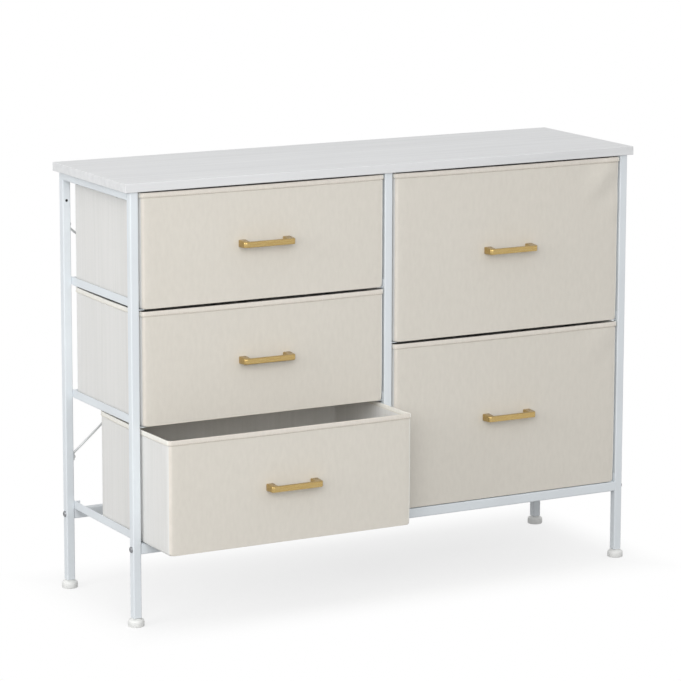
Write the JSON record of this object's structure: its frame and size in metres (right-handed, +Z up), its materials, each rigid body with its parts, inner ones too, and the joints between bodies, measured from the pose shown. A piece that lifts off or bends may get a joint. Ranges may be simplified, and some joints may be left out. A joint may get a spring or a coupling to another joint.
{
  "type": "fabric drawer dresser",
  "caption": "Wide low dresser: a white steel tube frame with a board top holds sewn fabric drawers with bar handles on folded runners, on levelling feet.",
  "frame": {"origin": "on the floor, midway between the four legs", "axes": "+X along the board to the right as seen from the front, +Y to the rear, +Z up"},
  "size_m": [1, 0.4225, 0.757],
  "materials": {
    "white_steel": "satin white powder coat",
    "white_board": "matt white foil with a faint grain",
    "drawer_fabric": "non-woven, off-white",
    "inner_board": "raw thin board",
    "gold_metal": "satin gold",
    "zinc_steel": "zinc plated",
    "insert_plastic": "black nylon",
    "foot_plastic": "matt white"
  },
  "bodies": {
    "frame": {"top_board": "white_board", "front_left_post": "white_steel", "front_centre_post": "white_steel", "front_right_post": "white_steel", "rear_left_post": "white_steel", "rear_centre_post": "white_steel", "rear_right_post": "white_steel", "left_top_rail": "white_steel", "centre_top_rail": "white_steel", "right_top_rail": "white_steel", "lower_left_outer_runner": "white_steel", "lower_left_inner_runner": "white_steel", "middle_left_outer_runner": "white_steel", "middle_left_inner_runner": "white_steel", "upper_left_outer_runner": "white_steel", "upper_left_inner_runner": "white_steel", "lower_right_outer_runner": "white_steel", "lower_right_inner_runner": "white_steel", "upper_right_outer_runner": "white_steel", "upper_right_inner_runner": "white_steel", "front_beam": "white_steel", "rear_beam": "white_steel", "brace_rods": "zinc_steel", "brace_screws": "zinc_steel", "frame_bolts": "zinc_steel", "board_screws": "zinc_steel", "tube_inserts": "insert_plastic"},
    "lower_left_drawer": {"lower_left_drawer_fabric": "drawer_fabric", "lower_left_drawer_front_board": "inner_board", "lower_left_drawer_base_board": "inner_board", "lower_left_handle": "gold_metal", "lower_left_handle_screws": "zinc_steel"},
    "middle_left_drawer": {"middle_left_drawer_fabric": "drawer_fabric", "middle_left_drawer_front_board": "inner_board", "middle_left_drawer_base_board": "inner_board", "middle_left_handle": "gold_metal", "middle_left_handle_screws": "zinc_steel"},
    "upper_left_drawer": {"upper_left_drawer_fabric": "drawer_fabric", "upper_left_drawer_front_board": "inner_board", "upper_left_drawer_base_board": "inner_board", "upper_left_handle": "gold_metal", "upper_left_handle_screws": "zinc_steel"},
    "lower_right_drawer": {"lower_right_drawer_fabric": "drawer_fabric", "lower_right_drawer_front_board": "inner_board", "lower_right_drawer_base_board": "inner_board", "lower_right_handle": "gold_metal", "lower_right_handle_screws": "zinc_steel"},
    "upper_right_drawer": {"upper_right_drawer_fabric": "drawer_fabric", "upper_right_drawer_front_board": "inner_board", "upper_right_drawer_base_board": "inner_board", "upper_right_handle": "gold_metal", "upper_right_handle_screws": "zinc_steel"},
    "front_left_stud": {"front_left_foot_stud": "zinc_steel"},
    "front_left_pad": {"front_left_foot_pad": "foot_plastic"},
    "front_right_stud": {"front_right_foot_stud": "zinc_steel"},
    "front_right_pad": {"front_right_foot_pad": "foot_plastic"},
    "rear_left_stud": {"rear_left_foot_stud": "zinc_steel"},
    "rear_left_pad": {"rear_left_foot_pad": "foot_plastic"},
    "rear_right_stud": {"rear_right_foot_stud": "zinc_steel"},
    "rear_right_pad": {"rear_right_foot_pad": "foot_plastic"}
  },
  "joints": [
    {"name": "lower_left_drawer_slide", "type": "slide", "parent": "frame", "child": "lower_left_drawer", "axis": [0, -1, 0], "range_m": [-0.1, 0.1]},
    {"name": "middle_left_drawer_slide", "type": "slide", "parent": "frame", "child": "middle_left_drawer", "axis": [0, -1, 0], "range_m": [0, 0.2]},
    {"name": "upper_left_drawer_slide", "type": "slide", "parent": "frame", "child": "upper_left_drawer", "axis": [0, -1, 0], "range_m": [0, 0.2]},
    {"name": "lower_right_drawer_slide", "type": "slide", "parent": "frame", "child": "lower_right_drawer", "axis": [0, -1, 0], "range_m": [0, 0.2]},
    {"name": "upper_right_drawer_slide", "type": "slide", "parent": "frame", "child": "upper_right_drawer", "axis": [0, -1, 0], "range_m": [0, 0.2]},
    {"name": "front_left_foot_lift", "type": "slide", "parent": "frame", "child": "front_left_stud", "axis": [0, 0, -1], "range_m": [0, 0.0101]},
    {"name": "front_left_foot_turn", "type": "hinge", "parent": "front_left_stud", "child": "front_left_pad", "pos_m": [-0.4825, -0.1385, 0.004], "axis": [0, 0, -1], "range_deg": [0, 2880]},
    {"name": "front_right_foot_lift", "type": "slide", "parent": "frame", "child": "front_right_stud", "axis": [0, 0, -1], "range_m": [0, 0.0101]},
    {"name": "front_right_foot_turn", "type": "hinge", "parent": "front_right_stud", "child": "front_right_pad", "pos_m": [0.4825, -0.1385, 0.004], "axis": [0, 0, -1], "range_deg": [0, 2880]},
    {"name": "rear_left_foot_lift", "type": "slide", "parent": "frame", "child": "rear_left_stud", "axis": [0, 0, -1], "range_m": [0, 0.0101]},
    {"name": "rear_left_foot_turn", "type": "hinge", "parent": "rear_left_stud", "child": "rear_left_pad", "pos_m": [-0.4825, 0.1385, 0.004], "axis": [0, 0, -1], "range_deg": [0, 2880]},
    {"name": "rear_right_foot_lift", "type": "slide", "parent": "frame", "child": "rear_right_stud", "axis": [0, 0, -1], "range_m": [0, 0.0101]},
    {"name": "rear_right_foot_turn", "type": "hinge", "parent": "rear_right_stud", "child": "rear_right_pad", "pos_m": [0.4825, 0.1385, 0.004], "axis": [0, 0, -1], "range_deg": [0, 2880]}
  ],
  "couplings": [
    {"joint": "front_left_foot_lift", "follows": "front_left_foot_turn", "m_per_rad": 0.00019894},
    {"joint": "front_right_foot_lift", "follows": "front_right_foot_turn", "m_per_rad": 0.00019894},
    {"joint": "rear_left_foot_lift", "follows": "rear_left_foot_turn", "m_per_rad": 0.00019894},
    {"joint": "rear_right_foot_lift", "follows": "rear_right_foot_turn", "m_per_rad": 0.00019894}
  ]
}
